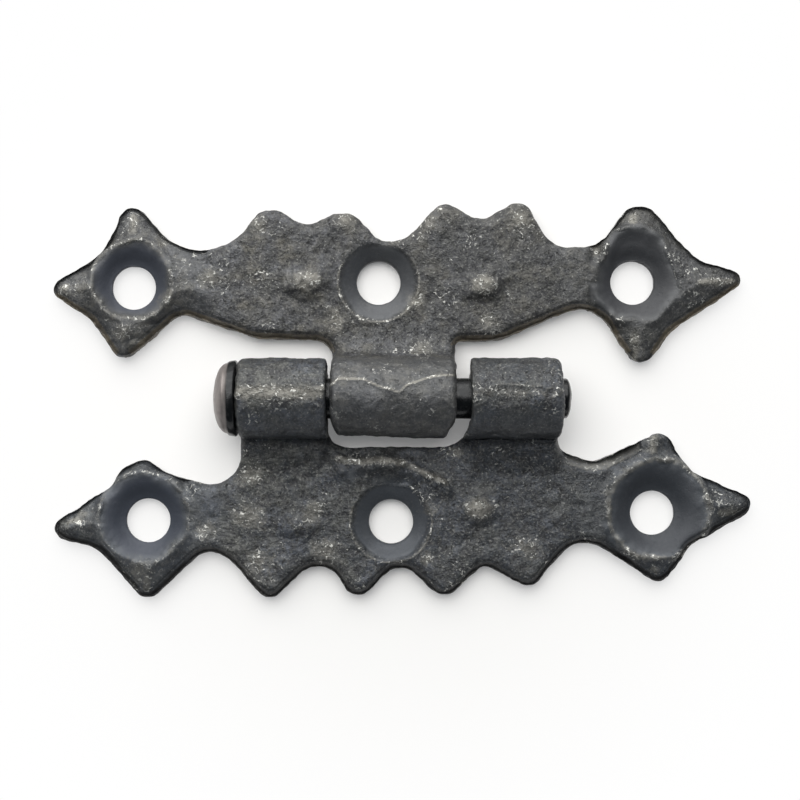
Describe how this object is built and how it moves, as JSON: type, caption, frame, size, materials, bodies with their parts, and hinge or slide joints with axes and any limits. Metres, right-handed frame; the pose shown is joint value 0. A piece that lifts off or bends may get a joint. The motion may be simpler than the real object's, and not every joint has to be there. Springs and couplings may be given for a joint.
{
  "type": "star hinge",
  "caption": "Forged black iron surface hinge: scalloped leaves with star-shaped ends, rolled knuckles, countersunk screw holes and a riveted pin. Folds shut face to face.",
  "frame": {"origin": "centre of the open hinge's footprint, on the plane of both backs", "axes": "+X along the pin, from its domed head to its peened tail; +Y from the lower leaf to the upper leaf; +Z out from the wall"},
  "size_m": [0.0697, 0.0394, 0.0079],
  "materials": {
    "forged_iron": "black forged, hammered, with worn bright edges",
    "pin_iron": "smooth black, with a dull grey head"
  },
  "bodies": {
    "lower": {"lower_leaf": "forged_iron", "hinge_pin": "pin_iron"},
    "upper": {"upper_leaf": "forged_iron"}
  },
  "joints": [
    {"name": "leaf_swing", "type": "hinge", "parent": "lower", "child": "upper", "pos_m": [0, 0, 0.00395], "axis": [1, 0, 0], "range_deg": [-85, 185]}
  ]
}
